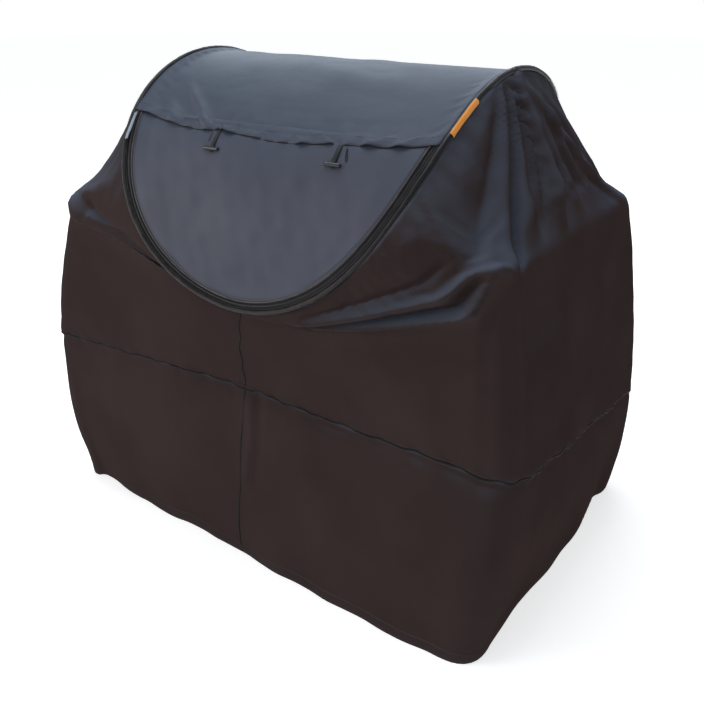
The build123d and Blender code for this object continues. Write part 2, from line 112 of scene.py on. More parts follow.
LEDGE_SHARE = np.array([0.50, 0.50, 0.49])     # where a cheek bends between hoop and rim, in x, y and z
FRONT_FLATTER = 0.10        # how much further down it bends in the front
USUAL_REACH = 0.3           # the distance at which the stand and the gathers have their full size
LEFT_STAND = 0.022          # how far the left cheek stands out between the hoop and the rim
RIGHT_STAND = 0.008         # and how far the right one does
UPPER_BULGE = 0.016         # of the cover between the rim and the waist
LOWER_BULGE = 0.020         # and between the waist and the hem
FAN_APEX = RIDGE + 0.10     # height of the point that the cheeks' folds fan from
CREASE_BEARING = 0.61       # of the creases that run to the right corners, in radians from straight down
COLUMN_SPACING = 0.0085
UPPER_ROWS = 84
LOWER_ROWS = 44
HEM_TURNED = 0.025          # how much of the cloth is turned up at the hem
SLEEVE_SLACK = 0.88         # radius of the cloth sleeve before it swells, as a share of SLEEVE_RADIUS
CANOPY_INSET = SLEEVE_RADIUS - 0.001
EDGE_DROP = 0.032           # how far the canopy's front edge hangs over the door
TAB_REACH = 0.016           # about half the width of the notch in that edge at each toggle
TOGGLE_X = {side: sum(c.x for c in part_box("toggle_bar_" + side)) / 2 for side in ("left", "right")}
SIDES = ("front", "back", "left", "right")
SKIRTS = ("front_left", "front_right", "left", "right", "back")


# ---- curves of the object ----

def unit(v):
    return v / np.linalg.norm(v, axis=-1, keepdims=True)


def travelled(line):
    """The length along a line of points, at each point."""
    return np.concatenate([[0], np.cumsum(np.linalg.norm(np.diff(line, axis=0), axis=1))])


def circle(count):
    """Even angles round a full turn."""
    return np.linspace(0, 2 * math.pi, count, endpoint=False)


def hoop_outline(tau):
    """The hoop laid flat. tau is in degrees, 0 at the right end of the ridge and 90 at the front."""
    tau = np.radians(np.asarray(tau, float))
    lift = np.sin(tau)
    width = HOOP_HALF_WIDTH * np.maximum(1 - np.abs(lift) ** HOOP_LENGTH_POWER, 0) ** (1 / HOOP_WIDTH_POWER)
    return np.stack([np.sign(np.cos(tau)) * width, HOOP_HALF_LENGTH * lift], -1)


def hoop_inside(tau, inset):
    """Points the given distance inside the flat hoop."""
    along = unit(hoop_outline(np.asarray(tau, float) + 0.5) - hoop_outline(np.asarray(tau, float) - 0.5))
    normal = np.stack([-along[..., 1], along[..., 0]], -1)
    return hoop_outline(tau) + normal * np.asarray(inset)[..., None]


def on_roof(flat, lift=0.0):
    """Wraps flat points on to the roof cylinder. lift is the height above it."""
    turn = flat[..., 1] / ROOF_RADIUS
    radius = ROOF_RADIUS + lift
    return np.stack([flat[..., 0] + 0 * turn, -radius * np.sin(turn), ROOF_AXIS + radius * np.cos(turn)], -1)


def roof_normals(points):
    return unit(points * [0, 1, 1] - [0, 0, ROOF_AXIS])


def half_width(arc, inset):
    """Half the width of the shape inside the hoop, at each arc."""
    taus = np.linspace(-89.9, 89.9, 1799)
    points = hoop_inside(taus, inset)
    return np.interp(arc, points[:, 1], points[:, 0])


def ring(corners, rounds, stations):
    """A rounded quadrilateral: even unit spans are sides and odd ones are corners."""
    corners, rounds = np.array(corners, float), np.array(rounds, float)
    span = np.floor(stations).astype(int) % STATIONS
    share = (stations - np.floor(stations))[:, None]
    first, second = span // 2 % 4, (span // 2 + 1) % 4
    start, end, beyond = corners[first], corners[second], corners[(second + 1) % 4]
    round_start, round_end = rounds[first][:, None], rounds[second][:, None]
    along, turn = unit(end - start), unit(beyond - end)
    low, high = start + along * round_start, end - along * round_end
    side = low + (high - low) * share
    out = end + turn * round_end
    corner = (high + (end - high) * share) * (1 - share) + (end + (out - end) * share) * share
    return np.where((span % 2 == 0)[:, None], side, corner)


def rim_line(stations):
    flat = ring(RIM, RIM_ROUNDS, stations)
    place = stations % STATIONS
    back = np.where(np.floor(place) == BACK_SPAN, 1 - (2 * (place - BACK_SPAN) - 1) ** 2, 0)
    dip = back + np.interp(place, *zip(*FRONT_DIP))
    y = flat[:, 1] + np.sign(flat[:, 1]) * DIP_PUSH * dip
    return np.stack([flat[:, 0], y, RIM_Z - DIP_DEPTH * dip], -1)


def waist_line(stations):
    flat = ring(WAIST, WAIST_ROUNDS, stations)
    tilt = flat[:, 0] / WAIST_X + flat[:, 1] / WAIST_Y
    height = WAIST_MEAN - WAIST_SLOPE * tilt + 0.004 * np.sin(stations * 4.71) * np.sin(stations * 11 + 1)
    return np.stack([flat[:, 0], flat[:, 1], np.minimum(WAIST_TOP, height)], -1)


def hem_line(stations):
    flat = ring(HEM, HEM_ROUNDS, stations)
    return np.stack([flat[:, 0], flat[:, 1], np.full(len(flat), HEM_Z)], -1)


def hoop_line(stations):
    place = stations % STATIONS
    taus = np.interp(place, np.arange(STATIONS + 1), TAU_STOPS)
    return on_roof(hoop_outline(taus))


def outward_flat(stations):
    """The level direction that points out of the body at each station."""
    along = unit(ring(WAIST, WAIST_ROUNDS, stations + 0.02) - ring(WAIST, WAIST_ROUNDS, stations - 0.02))
    return np.stack([along[:, 1], -along[:, 0], 0 * along[:, 0]], -1)


# ---- mesh tools ----

def grid_faces(rows, columns, closed):
    faces = []
    last = columns if closed else columns - 1
    for i in range(rows - 1):
        for j in range(last):
            k = (j + 1) % columns
            faces.append((i * columns + j, i * columns + k, (i + 1) * columns + k, (i + 1) * columns + j))
    return faces


def mesh_object(name, points, faces, uvs=None):
    mesh = bpy.data.meshes.new(name)
    mesh.from_pydata(np.asarray(points).reshape(-1, 3).tolist(), [], faces)
    if uvs is not None:
        layer = mesh.uv_layers.new(name="UVMap")
        corners = np.array([l.vertex_index for l in mesh.loops])
        layer.data.foreach_set("uv", np.asarray(uvs, np.float32).reshape(-1, 2)[corners].ravel())
    mesh.polygons.foreach_set("use_smooth", [True] * len(mesh.polygons))
    mesh.update()
    piece = bpy.data.objects.new(name, mesh)
    bpy.context.scene.collection.objects.link(piece)
    return piece


def cloth_uvs(grid):
    """Lengths along the cloth in metres, so that a weave is the same size everywhere."""
    across = np.linalg.norm(np.diff(grid, axis=1, append=grid[:, -1:]), axis=-1).mean(0)
    down = np.linalg.norm(np.diff(grid, axis=0, append=grid[-1:]), axis=-1).mean(1)
    u = np.concatenate([[0], np.cumsum(across)[:-1]])
    v = np.concatenate([[0], np.cumsum(down)[:-1]])
    return np.stack(np.broadcast_arrays(u[None, :], v[:, None]), -1)


def sheet_piece(name, grid, closed=False, thick=0.0008):
    """A piece of cloth from a grid of points, with a little thickness inwards."""
    rows, columns = grid.shape[:2]
    piece = mesh_object(name, grid, grid_faces(rows, columns, closed), cloth_uvs(grid))
    solidify = piece.modifiers.new("thickness", "SOLIDIFY")
    solidify.thickness = thick
    solidify.offset = -1
    return piece


def grid_normals(grid, closed):
    """Outward normals of a grid whose rows go down and whose columns go round."""
    down = np.gradient(grid, axis=0)
    if closed:
        across = np.roll(grid, -1, axis=1) - np.roll(grid, 1, axis=1)
    else:
        across = np.gradient(grid, axis=1)
    return unit(np.cross(down, across))


def tube(name, line, radii, sides, closed=False, up=None):
    """A tube along a line of points, with a radius at each."""
    along = np.gradient(line, axis=0)
    if closed:
        along = np.roll(line, -1, axis=0) - np.roll(line, 1, axis=0)
    along = unit(along)
    up = np.broadcast_to(np.array([0, 0, 1.0]) if up is None else up, line.shape)
    side = unit(np.cross(along, up))
    over = np.cross(side, along)
    angles = circle(sides)
    spokes = side[:, None] * np.cos(angles)[None, :, None] + over[:, None] * np.sin(angles)[None, :, None]
    points = line[:, None] + spokes * np.asarray(radii).reshape(len(line), -1, 1)
    rows = len(line)
    count = rows if closed else rows - 1
    faces = []
    for i in range(count):
        for j in range(sides):
            k, n = (j + 1) % sides, (i + 1) % rows
            faces.append((i * sides + j, n * sides + j, n * sides + k, i * sides + k))
    if not closed:
        faces.append(tuple(range(sides)))
        faces.append(tuple((rows - 1) * sides + j for j in reversed(range(sides))))
    uvs = np.stack(np.broadcast_arrays(travelled(line)[:, None], (angles * np.mean(radii))[None, :]), -1)
    return mesh_object(name, points, faces, uvs)


def smooth_noise(grid, scale, seed):
    """Smooth value noise at each point of a grid, from a few seeded waves, about -1 to 1."""
    random = np.random.default_rng(seed)
    waves, wave_sum = 14, 3.7
    total = np.zeros(grid.shape[:-1])
    for _ in range(waves):
        direction = unit(random.normal(size=3))
        phase = grid @ direction * (2 * math.pi / scale) * random.uniform(0.6, 1.6) + random.uniform(0, 7)
        total += np.sin(phase)
    return total / wave_sum


def repeated(pattern, count, size):
    """The faces of many small shapes in one mesh, each with that many points."""
    return [tuple(size * k + i for i in face) for k in range(count) for face in pattern]


# ---- materials ----

# Colours are linear red, green and blue. Every material is opaque.

def feed(tree, node, sockets):
    """Links or sets a node's inputs."""
    for key, value in sockets.items():
        socket = node.inputs[key]
        if isinstance(value, bpy.types.NodeSocket):
            tree.links.new(value, socket)
        else:
            socket.default_value = (*value, 1) if socket.type == "RGBA" else value


def new_material(name, rough, sheen=0.0, metal=0.0, specular=0.5):
    material = bpy.data.materials.new(name)
    material.use_nodes = True
    tree = material.node_tree
    shader = tree.nodes["Principled BSDF"]
    feed(tree, shader, {"Roughness": rough, "Metallic": metal, "Specular IOR Level": specular,
                        "Sheen Weight": sheen, "Sheen Roughness": 0.45, "Sheen Tint": (0.80, 0.87, 1.0)})
    return material, tree, shader


def add_node(tree, kind, sockets=None, **settings):
    made = tree.nodes.new(kind)
    for key, value in settings.items():
        setattr(made, key, value)
    feed(tree, made, sockets or {})
    return made


def texture_place(tree, kind="Object"):
    return add_node(tree, "ShaderNodeTexCoord").outputs[kind]


def math_node(tree, operation, a, b):
    return add_node(tree, "ShaderNodeMath", {0: a, 1: b}, operation=operation).outputs[0]


def mix_colours(tree, factor, a, b):
    return add_node(tree, "ShaderNodeMix", {0: factor, 6: a, 7: b}, data_type="RGBA").outputs[2]


def noise(tree, coordinates, scale, detail=3.0, distortion=0.0):
    sockets = {"Vector": coordinates, "Scale": scale, "Detail": detail, "Distortion": distortion}
    return add_node(tree, "ShaderNodeTexNoise", sockets).outputs["Fac"]


def ramp(tree, value, low, high):
    sockets = {"Value": value, "From Min": low, "From Max": high}
    return add_node(tree, "ShaderNodeMapRange", sockets, interpolation_type="SMOOTHSTEP").outputs["Result"]


def weave(tree, coordinates, pitch):
    """Over-and-under height of a plain weave."""
    wave_scale = 2 * math.pi / (20 * pitch)
    threads = []
    for direction in ("X", "Y"):
        sockets = {"Vector": coordinates, "Scale": wave_scale}
        threads.append(add_node(tree, "ShaderNodeTexWave", sockets, bands_direction=direction).outputs["Fac"])
    return math_node(tree, "MULTIPLY", *threads)


def bumped(tree, shader, layers):
    """Layers of (height, distance), from the deepest to the finest."""
    normal = None
    for height, distance in layers:
        sockets = {"Height": height, "Distance": distance, "Strength": 0.8}
        if normal is not None:
            sockets["Normal"] = normal
        normal = add_node(tree, "ShaderNodeBump", sockets).outputs["Normal"]
    tree.links.new(normal, shader.inputs["Normal"])


def wire_up(tree, shader, tone, layers, rough=None):
    """Joins a material's colour, its bumps, and its roughness as (noise, spread, lowest)."""
    tree.links.new(tone, shader.inputs["Base Color"])
    if rough:
        value, spread, lowest = rough
        roughness = math_node(tree, "ADD", math_node(tree, "MULTIPLY", value, spread), lowest)
        tree.links.new(roughness, shader.inputs["Roughness"])
    bumped(tree, shader, layers)


def coated_cloth(name, base, worn, sky, sky_range, specular, sheen, creases):
    """Coated polyester. The colour passed as its sky tone is a painted sky reflection: a paler, cooler tone mixed
    in where the cloth faces up, and a little of it along convex edges as a painted highlight.
    """
    rough = 0.50
    material, tree, shader = new_material(name, rough, sheen, specular=specular)
    uv = texture_place(tree, "UV")
    place = texture_place(tree)
    geometry = add_node(tree, "ShaderNodeNewGeometry")
    up = add_node(tree, "ShaderNodeSeparateXYZ", {0: geometry.outputs["Normal"]}).outputs["Z"]
    slow, fine = noise(tree, place, 5.0, 4.0), noise(tree, uv, 900.0, 2.0)
    tone = mix_colours(tree, ramp(tree, slow, 0.35, 0.68), base, worn)
    # painted highlight: convex edges, found by pointiness, take a little of the painted sky tone
    edge = ramp(tree, geometry.outputs["Pointiness"], 0.50, 0.56)
    tone = mix_colours(tree, math_node(tree, "MULTIPLY", edge, 0.08), tone, sky)
    # painted sky reflection: where the cloth's normal faces up, its colour turns to the paler, cooler sky tone, as
    # if lit from above
    tone = mix_colours(tree, ramp(tree, up, *sky_range), tone, sky)
    darker = [c * 0.82 for c in base]
    tone = mix_colours(tree, math_node(tree, "MULTIPLY", ramp(tree, fine, 0.45, 0.75), 0.22), tone, darker)
    crumple = noise(tree, place, 26.0, 5.0, 0.6)
    layers = [(crumple, creases), (fine, 0.00018), (weave(tree, uv, 0.0009), 0.00008)]
    wire_up(tree, shader, tone, layers, (slow, 0.16, rough - 0.08))
    return material


def narrow_weave(name, base, pale, pitch, rough, sheen, coordinates="Object"):
    """Tape, webbing, binding and ribbon: a coarser weave than the cloth's."""
    material, tree, shader = new_material(name, rough, sheen, specular=0.25)
    place = texture_place(tree, coordinates)
    thread = weave(tree, place, pitch)
    fuzz = noise(tree, place, 700.0, 3.0)
    worn = noise(tree, place, 40.0, 3.0)
    tone = mix_colours(tree, math_node(tree, "MULTIPLY", thread, 0.55), base, pale)
    tone = mix_colours(tree, math_node(tree, "MULTIPLY", ramp(tree, worn, 0.5, 0.75), 0.4), tone, pale)
    wire_up(tree, shader, tone, [(worn, 0.0004), (thread, 0.0002), (fuzz, 0.00008)])
    return material


def moulded(name, base, pale, rough, grain):
    """Moulded plastic or rubber with a fine grain, rubbed paler along its edges."""
    material, tree, shader = new_material(name, rough)
    place = texture_place(tree)
    geometry = add_node(tree, "ShaderNodeNewGeometry")
    speck, scuff = noise(tree, place, grain, 2.0), noise(tree, place, 60.0, 4.0)
    edge = math_node(tree, "MULTIPLY", ramp(tree, geometry.outputs["Pointiness"], 0.5, 0.6), scuff)
    tone = mix_colours(tree, ramp(tree, scuff, 0.42, 0.72), base, [c * 1.35 for c in base])
    tone = mix_colours(tree, edge, tone, pale)
    wire_up(tree, shader, tone, [(scuff, 0.0002), (speck, 0.00006)], (scuff, 0.2, rough - 0.1))
    return material


def metal(name, base, rough, coat=0.0):
    """Steel, bare or painted, with fine scratches and a little tarnish."""
    material, tree, shader = new_material(name, rough, metal=0.0 if coat else 1.0)
    shader.inputs["Coat Weight"].default_value = coat
    place = texture_place(tree)
    stretch = add_node(tree, "ShaderNodeMapping", {"Vector": place, "Scale": (400, 400, 12)}).outputs[0]
    scratch, stain = noise(tree, stretch, 1.0, 2.0), noise(tree, place, 30.0, 5.0)
    tone = mix_colours(tree, ramp(tree, stain, 0.4, 0.8), base, [c * 0.6 for c in base])
    wire_up(tree, shader, tone, [(scratch, 0.00004)], (scratch, 0.25, rough - 0.1))
    return material


SLATE = (0.065, 0.070, 0.094)
SLATE_WORN = (0.057, 0.061, 0.084)
# painted sky reflection for the canopy cloth, mixed in where it faces up
CANOPY_SKY_REFLECTION = (0.037, 0.050, 0.076)
BROWN = (0.0350, 0.0242, 0.0230)
BROWN_WORN = (0.0410, 0.0285, 0.0268)
# painted sky reflection for the skirt cloth, mixed in where it faces up and along its convex edges
SKIRT_SKY_REFLECTION = (0.074, 0.084, 0.111)
MATERIALS = {
    "canopy_fabric": coated_cloth("canopy_cloth", SLATE, SLATE_WORN, CANOPY_SKY_REFLECTION, (0.45, 0.95), 0.17, 0.05,
                                  0.0010),
    "skirt_fabric": coated_cloth("skirt_cloth", BROWN, BROWN_WORN, SKIRT_SKY_REFLECTION, (0.20, 0.92), 0.0, 0.0, 0.0010),
    "seam_tape": narrow_weave("seam_cloth", (0.004, 0.003, 0.003), (0.012, 0.009, 0.009), 0.0012, 0.8, 0.0),
    "sleeve_fabric": narrow_weave("sleeve_binding", (0.008, 0.006, 0.006), (0.035, 0.027, 0.025), 0.0014,
                                  0.42, 0.06, "UV"),
    "zip_tape": narrow_weave("zip_tape_weave", (0.010, 0.010, 0.012), (0.035, 0.034, 0.038), 0.001, 0.8, 0.1),
    "webbing": narrow_weave("webbing_weave", (0.008, 0.008, 0.010), (0.030, 0.032, 0.038), 0.0016, 0.7, 0.15),
    "pull_ribbon": narrow_weave("ribbon_weave", (0.23, 0.26, 0.31), (0.42, 0.46, 0.52), 0.0011, 0.5, 0.3),
    "tag_fabric": narrow_weave("tag_weave", (0.80, 0.27, 0.03), (0.98, 0.50, 0.12), 0.0010, 0.6, 0.2, "UV"),
    "zip_teeth": moulded("nylon_coil", (0.012, 0.012, 0.014), (0.09, 0.09, 0.10), 0.35, 1500.0),
    "toggle_plastic": moulded("toggle_moulding", (0.010, 0.010, 0.011), (0.10, 0.10, 0.11), 0.24, 900.0),
    "block_plastic": moulded("block_moulding", (0.020, 0.020, 0.021), (0.09, 0.09, 0.09), 0.5, 1200.0),
    "foot_rubber": moulded("foot_moulding", (0.014, 0.014, 0.014), (0.06, 0.06, 0.06), 0.75, 1200.0),
    "spring_steel": metal("spring_wire", (0.55, 0.55, 0.56), 0.35),
    "slider_metal": metal("slider_paint", (0.05, 0.05, 0.055), 0.35, coat=0.3),
    "frame_tube": metal("tube_paint", (0.018, 0.018, 0.019), 0.45, coat=0.2),
}
THREAD = narrow_weave("sewing_thread", (0.012, 0.010, 0.010), (0.028, 0.022, 0.021), 0.0006, 0.8, 0.0)
PIPING = narrow_weave("edge_piping", (0.050, 0.039, 0.036), (0.16, 0.130, 0.115), 0.0012, 0.45, 0.1)


def finish_piece(piece, slot, body, replaced=(), material=None):
    piece.data.materials.clear()
    piece.data.materials.append(material or MATERIALS[slot])
    if body:
        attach(piece, body)
    if replaced:
        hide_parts(*replaced)
    return piece


def dress_cad_nodes():
    """Every CAD node that stays gets its slot's material, and moulded and metal ones get softer edges."""
    for row in frame["record"]["subparts"]:
        node, slot = frame["nodes"][row["node"]], row["material_slot"]
        node.data.materials.clear()
        node.data.materials.append(MATERIALS[slot])
        if slot in ("slider_metal", "toggle_plastic", "block_plastic", "foot_rubber"):
            bevel = node.modifiers.new("edges", "BEVEL")
            bevel.width = 0.0003 if slot == "slider_metal" else 0.0006
            bevel.segments = 2
            bevel.limit_method = "ANGLE"


dress_cad_nodes()


# ---- cloth simulation ----

CLOTH_SETTINGS = {
    "quality": 5, "mass": 0.12, "tension_stiffness": 12, "compression_stiffness": 12, "shear_stiffness": 4,
    "bending_stiffness": 0.15, "air_damping": 2.0, "vertex_group_mass": "pin", "pin_stiffness": 1.0,
}


def settle(grid, pin, closed, shrink, frames, cap):
    """Lets a grid of cloth settle under gravity. pin is each point's hold, 1 at a seam. cap is the most that
    a point may move. Returns the settled grid."""
    rows, columns = grid.shape[:2]
    cloth = mesh_object("settling", grid, grid_faces(rows, columns, closed))
    group = cloth.vertex_groups.new(name="pin")
    weights = np.round(pin.ravel(), 2)
    for weight in np.unique(weights):
        group.add(np.flatnonzero(weights == weight).tolist(), float(weight), "REPLACE")
    settings = cloth.modifiers.new("cloth", "CLOTH").settings
    for key, value in CLOTH_SETTINGS.items():
        setattr(settings, key, value)
    settings.shrink_min = -shrink
    scene = bpy.context.scene
    for step in range(1, frames + 1):
        scene.frame_set(step)
    shape = cloth.evaluated_get(bpy.context.evaluated_depsgraph_get()).to_mesh()
    points = np.zeros(rows * columns * 3)
    shape.vertices.foreach_get("co", points)
    mesh = cloth.data
    bpy.data.objects.remove(cloth)
    bpy.data.meshes.remove(mesh)
    scene.frame_set(1)
    move = points.reshape(grid.shape) - grid
    size = np.linalg.norm(move, axis=-1, keepdims=True)
    return grid + move * np.minimum(1, cap / np.maximum(size, 1e-9))


# ---- the cloth cover: from the hoop to the rim, the waist and the floor ----

def even_stations(spacing):
    """Stations evenly spaced round the body."""
    fine = np.linspace(0, STATIONS, 4001)
    middle = (rim_line(fine) + waist_line(fine)) / 2
    length = travelled(middle[:, :2])
    count = int(round(length[-1] / spacing))
    return np.interp(np.arange(count) / count * length[-1], length, fine)


def bezier(a, b, c, zone, count):
    """Curves from a to c by way of b, with the zone as a fourth coordinate."""
    t = np.linspace(0, 1, count)[:, None, None]
    points = a * (1 - t) ** 2 + b * 2 * t * (1 - t) + c * t ** 2
    return np.concatenate([points, np.broadcast_to(zone + t, points.shape[:2] + (1,))], -1)


def soften(lines, passes):
    """Rounds off a bend: each pass moves a point half way to its neighbours' middle."""
    for _ in range(passes):
        lines[1:-1] = lines[1:-1] / 2 + (lines[2:] + lines[:-2]) / 4
    return lines


def evenly(lines, rows):
    """Each column resampled to even steps along its own length."""
    out = np.zeros((rows,) + lines.shape[1:])
    for j in range(lines.shape[1]):
        line = lines[:, j]
        length = travelled(line[:, :3])
        at = np.linspace(0, length[-1], rows)
        for k in range(line.shape[1]):
            out[:, j, k] = np.interp(at, length, line[:, k])
    return out


def upper_cover_grid(stations, rows):
    """The cover from the hoop to the waist. Its zone runs from 0 to 1 at the rim and 2 at the waist."""
    hoop, rim, waist = hoop_line(stations), rim_line(stations), waist_line(stations)
    push = outward_flat(stations)
    reach = np.linalg.norm(rim - hoop, axis=1, keepdims=True)
    start = hoop + unit(rim - hoop) * (SLEEVE_RADIUS - 0.001)
    flatter = FRONT_FLATTER * between(stations % STATIONS, 5.8, 7.2, 0.15)[:, None]
    ledge = hoop + (rim - hoop) * (LEDGE_SHARE + flatter * [0, 0, 1])
    stand = np.where(hoop[:, :1] < 0, LEFT_STAND, RIGHT_STAND)
    ledge = ledge + push * stand * np.clip(reach / USUAL_REACH, 0, 1)
    middle = (rim + waist) / 2 + push * UPPER_BULGE
    cheek = bezier(start, ledge, rim, 0, 80)
    skirt = bezier(rim, middle, waist, 1, 80)
    return evenly(soften(np.concatenate([cheek, skirt[1:]]), 7), rows)


def lower_cover_grid(stations, rows):
    """The cover from the waist, at zone 0, to the floor, at zone 1."""
    waist, hem = waist_line(stations), hem_line(stations)
    middle = (waist + hem) / 2 + outward_flat(stations) * LOWER_BULGE
    return evenly(bezier(waist, middle, hem, 0, 80), rows)


def turn_between(stations, place):
    """How far each station is from a place, the short way round."""
    return (stations - place + STATIONS / 2) % STATIONS - STATIONS / 2


def fade(value, low, high):
    """0 below low, 1 above high and smooth between."""
    t = np.clip((value - low) / (high - low), 0, 1)
    return t * t * (3 - 2 * t)


def between(value, low, high, soft):
    """1 from low to high and 0 outside, with soft ends."""
    return fade(value, low - soft, low + soft) * (1 - fade(value, high - soft, high + soft))


def ridge(distance, width):
    """The height of a rounded ridge, 1 along its middle."""
    return np.exp(-(distance / width) ** 2)


def from_apex(points):
    """Bearing and distance of each point from the line above the ridge that the cheeks' folds fan from. The
    bearing is 0 straight down and grows towards the back."""
    offset = points[..., 1:] - [0, FAN_APEX]
    return np.arctan2(offset[..., 0], -offset[..., 1]), np.linalg.norm(offset, axis=-1)


def gathers(points, zone, side, low, high, count, seed, strength=1.0):
    """Long folds that fan down over one cheek, each a soft ridge with a narrow valley beside it. low and high
    are the fan's bearings, in radians, towards the front and the back."""
    random = np.random.default_rng(seed)
    bearing, distance = from_apex(points)
    total = np.zeros(zone.shape)
    for k in range(count):
        place = low + (high - low) * (k + 0.5 + random.uniform(-0.25, 0.25)) / count
        bend = random.uniform(-0.10, 0.10)
        width = random.uniform(0.010, 0.026) * distance / USUAL_REACH
        height = random.uniform(0.005, 0.012) * strength
        start, end = random.uniform(0.0, 0.22), random.uniform(0.62, 0.96)
        aside = (bearing - place - bend * zone * zone) * distance
        reach = between(zone, start, end, 0.14)
        total += height * ridge(aside, width) * reach
        total -= 0.6 * height * ridge(aside - width * 1.5, width * 0.45) * reach
    return total * (np.sign(points[..., 0]) == side)


def fold_along(stations, zone, reach, start, end, width, height):
    """A fold from one (station, zone) to another. Its width is in metres, across the zone."""
    share = turn_between(stations[None, :], start[0]) / (end[0] - start[0])
    centre = start[1] + (end[1] - start[1]) * share
    return height * ridge((zone - centre) * reach, width) * between(share, 0, 1, 0.12)


def columns_metric(grid, stations):
    """Metres to one station, at each point of a closed grid."""
    step = np.linalg.norm(np.roll(grid, -1, axis=1) - np.roll(grid, 1, axis=1), axis=-1)
    return step / (turn_between(np.roll(stations, -1), np.roll(stations, 1)) % STATIONS)[None, :]


# Folds of the front shoulder, each from one (station, zone) to another, with a width and a height. A negative
# height is a crease.
FRONT_BANDS = [
    ((6.50, 0.96), (7.66, 0.95), 0.015, 0.017),
    ((6.62, 0.74), (7.22, 0.84), 0.009, -0.012),
    ((6.66, 0.48), (7.46, 0.92), 0.012, 0.013),
    ((6.58, 0.30), (7.30, 0.55), 0.008, -0.010),
    ((6.42, 0.95), (5.66, 0.93), 0.020, 0.018),
    ((6.36, 0.64), (5.76, 0.68), 0.017, -0.018),
]


def puckers(points):
    return smooth_noise(points * [1, 1, 0.2], 0.034, 8)


def right_creases(points, zone):
    """A sharp crease with a ridge beside it, down to the rim's front right corner, and a curved fold down to
    its back right one."""
    right = points[..., 0] > 0
    bearing, distance = from_apex(points)
    aside = (bearing + CREASE_BEARING - 0.06 * (1 - zone)) * distance
    crease = 0.009 * ridge(aside + 0.022, 0.014) - 0.014 * ridge(aside, 0.007)
    aside = (bearing - CREASE_BEARING * fade(zone, -0.2, 1.1)) * distance
    fold = 0.010 * ridge(aside, 0.014)
    return (crease * between(zone, 0.05, 1.0, 0.08) + fold * between(zone, 0.05, 1.0, 0.12)) * right


def upper_folds(stations, points, zone):
    metric = columns_metric(points, stations)
    reach = np.linalg.norm(rim_line(stations) - hoop_line(stations), axis=1)[None, :]
    total = gathers(points, zone, 1, -0.86, 0.66, count=11, seed=3, strength=1.2)
    total += gathers(points, zone, -1, -0.42, 0.66, count=7, seed=4, strength=0.7)
    for start, end, width, height in FRONT_BANDS:
        total += fold_along(stations, zone, reach, start, end, width, height)
    total += right_creases(points, zone)
    # the posts inside push two faint bands into the upright corners
    for corner in CORNERS:
        aside = turn_between(stations[None, :], corner) * metric
        bands = ridge(aside - 0.026, 0.014) + ridge(aside + 0.026, 0.014)
        total += 0.0035 * bands * between(zone, 1.1, 1.95, 0.12)
    total += 0.0030 * smooth_noise(points, 0.34, 6) * between(zone, 1.05, 1.9, 0.15)
    total += 0.0005 * smooth_noise(points, 0.07, 7) * between(zone, 0.1, 1.9, 0.1)
    # puckers where the waist seam draws the cloth up
    return total + (0.0018 * puckers(points) + 0.0012) * fade(zone, 1.88, 1.99)


def lower_folds(stations, points, zone):
    metric = columns_metric(points, stations)
    total = 0.0090 * smooth_noise(points * [1, 1, 0.30], 0.21, 9) * fade(zone, 0.1, 1.0)
    total += 0.0005 * smooth_noise(points, 0.09, 10)
    for corner in CORNERS:
        aside = turn_between(stations[None, :], corner) * metric
        total += 0.010 * ridge(aside, 0.06) * between(zone, 0.35, 1.2, 0.3)
    # a pucker beside the front's upright seam, under the waist
    aside = turn_between(stations[None, :], FRONT_MIDDLE + 0.03) * metric
    bow = 0.012 * np.sin(np.clip(zone / 0.55, 0, 1) * math.pi)
    total -= 0.006 * ridge(aside - bow, 0.007) * between(zone, 0.03, 0.52, 0.06)
    total += 0.004 * ridge(aside - bow + 0.022, 0.012) * between(zone, 0.03, 0.52, 0.08)
    total -= 0.0016 * ridge(zone - 0.02, 0.03)
    return total + 0.0018 * puckers(points) * (1 - fade(zone, 0.01, 0.10))


def fold_grid(grid, folds, stations):
    points, zone = grid[..., :3], grid[..., 3]
    return points + grid_normals(points, True) * folds(stations, points, zone)[..., None]


def hold(rows, strength, ends):
    """Pins: firm in the first and last rows, and a light hold between."""
    pin = np.full(rows, strength)
    pin[:ends] = 1.0
    pin[-ends:] = 1.0
    return pin


stations = even_stations(COLUMN_SPACING)


def make_covers():
    upper = upper_cover_grid(stations, UPPER_ROWS)
    lower = lower_cover_grid(stations, LOWER_ROWS)
    upper_zone = upper[..., 3]
    upper, lower = fold_grid(upper, upper_folds, stations), fold_grid(lower, lower_folds, stations)
    lower[0] = upper[-1]
    held = 0.22 + 0.6 * fade(upper_zone, 0.72, 0.95)
    pins = np.maximum(hold(UPPER_ROWS, 0.0, 1)[:, None], held)
    upper = settle(upper, pins, True, shrink=0.008, frames=12, cap=0.007)
    pins = np.repeat(hold(LOWER_ROWS, 0.55, 1)[:, None], len(stations), 1)
    lower = settle(lower, pins, True, shrink=0.002, frames=10, cap=0.004)
    lower[..., 2] = np.maximum(lower[..., 2], HEM_Z)
    return upper, lower, upper_zone


upper, lower, upper_zone = make_covers()
upper_piece = sheet_piece("upper_cover", upper, closed=True)
finish_piece(upper_piece, "skirt_fabric", "root",
             ["cheek_left", "cheek_right", "front_shoulder", "back_shoulder"]
             + ["upper_skirt_" + side for side in SKIRTS])
lower_piece = sheet_piece("lower_cover", lower, closed=True)
finish_piece(lower_piece, "skirt_fabric", "root", ["lower_skirt_" + side for side in SKIRTS])


# ---- seams, hem and stitches ----

